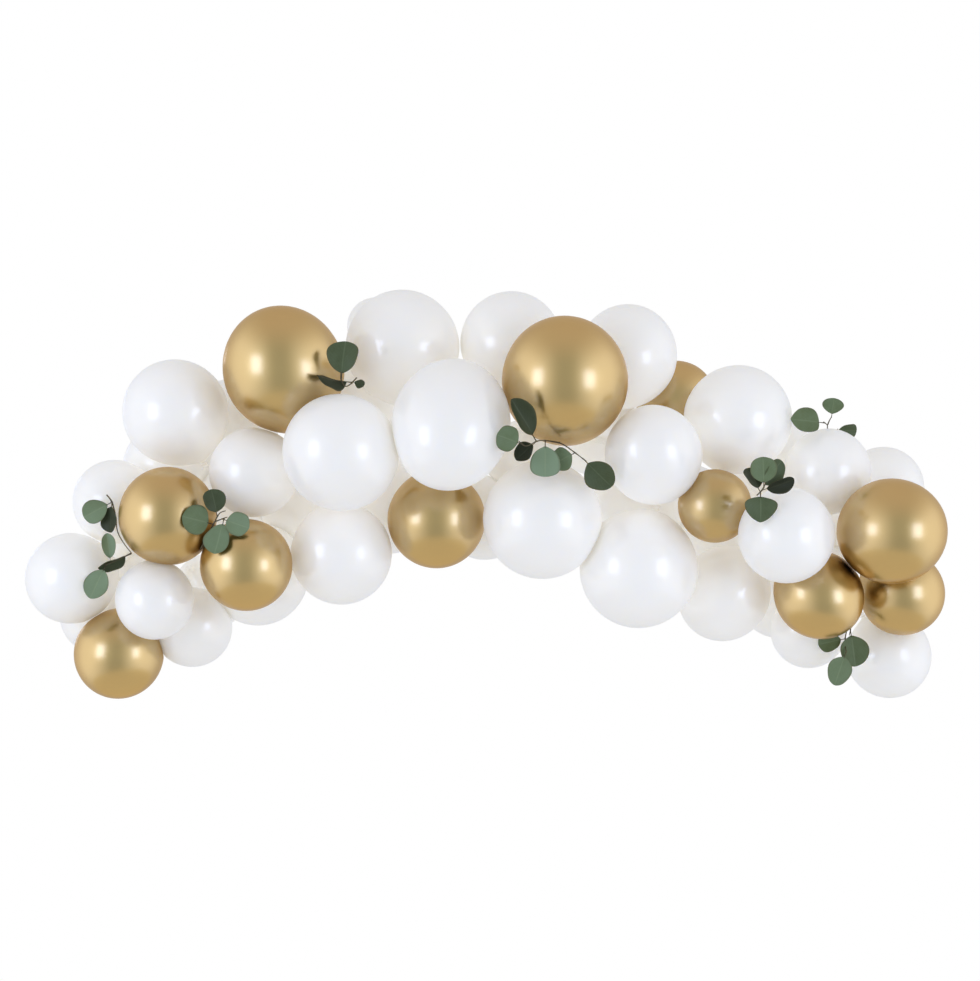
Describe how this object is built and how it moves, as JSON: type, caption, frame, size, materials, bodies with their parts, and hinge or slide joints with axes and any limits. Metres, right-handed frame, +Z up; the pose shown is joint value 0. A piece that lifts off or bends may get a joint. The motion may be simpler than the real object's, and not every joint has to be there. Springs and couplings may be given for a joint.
{
  "type": "balloon garland",
  "caption": "Arched garland of white and metallic gold latex balloons on a clear strip, with sprigs of round-leaved eucalyptus, made to hang from hooks on its back.",
  "frame": {"origin": "on the back face of the clear strip, at the crown of the arch, where its middle hook holds it", "axes": "+X to the right along the garland, +Z up, the front faces -Y and the hooks are on the +Y side"},
  "size_m": [1.9753, 0.6619, 0.8896],
  "materials": {
    "gold_latex": "metallic gold latex with a soft mirror shine",
    "white_latex": "glossy white latex, slightly pearly and translucent",
    "eucalyptus_leaf": "matt dusty green leaves with paler veins on brown-green stems",
    "clear_strip": "clear flexible plastic"
  },
  "bodies": {
    "root": {"gold_balloon_01": "gold_latex", "gold_balloon_02": "gold_latex", "gold_balloon_03": "gold_latex", "gold_balloon_04": "gold_latex", "gold_balloon_05": "gold_latex", "gold_balloon_06": "gold_latex", "gold_balloon_07": "gold_latex", "gold_balloon_08": "gold_latex", "gold_balloon_09": "gold_latex", "gold_balloon_10": "gold_latex", "gold_balloon_11": "gold_latex", "white_balloon_01": "white_latex", "white_balloon_02": "white_latex", "white_balloon_03": "white_latex", "white_balloon_04": "white_latex", "white_balloon_05": "white_latex", "white_balloon_06": "white_latex", "white_balloon_07": "white_latex", "white_balloon_08": "white_latex", "white_balloon_09": "white_latex", "white_balloon_10": "white_latex", "white_balloon_11": "white_latex", "white_balloon_12": "white_latex", "white_balloon_13": "white_latex", "white_balloon_14": "white_latex", "white_balloon_15": "white_latex", "white_balloon_16": "white_latex", "white_balloon_17": "white_latex", "white_balloon_18": "white_latex", "white_balloon_19": "white_latex", "white_balloon_20": "white_latex", "white_balloon_21": "white_latex", "white_balloon_22": "white_latex", "white_balloon_23": "white_latex", "white_balloon_24": "white_latex", "white_balloon_25": "white_latex", "white_balloon_26": "white_latex", "white_balloon_27": "white_latex", "white_balloon_28": "white_latex", "back_balloon_01": "white_latex", "back_balloon_02": "white_latex", "back_balloon_03": "white_latex", "back_balloon_04": "white_latex", "back_balloon_05": "white_latex", "back_balloon_06": "white_latex", "back_balloon_07": "white_latex", "back_balloon_08": "white_latex", "back_balloon_09": "white_latex", "back_balloon_10": "white_latex", "back_balloon_11": "white_latex", "back_balloon_12": "white_latex", "back_balloon_13": "white_latex", "eucalyptus_sprig_1": "eucalyptus_leaf", "eucalyptus_sprig_2": "eucalyptus_leaf", "eucalyptus_sprig_3": "eucalyptus_leaf", "eucalyptus_sprig_4": "eucalyptus_leaf", "eucalyptus_sprig_5": "eucalyptus_leaf", "eucalyptus_sprig_6": "eucalyptus_leaf", "eucalyptus_sprig_7": "eucalyptus_leaf", "balloon_strip": "clear_strip"}
  },
  "joints": []
}
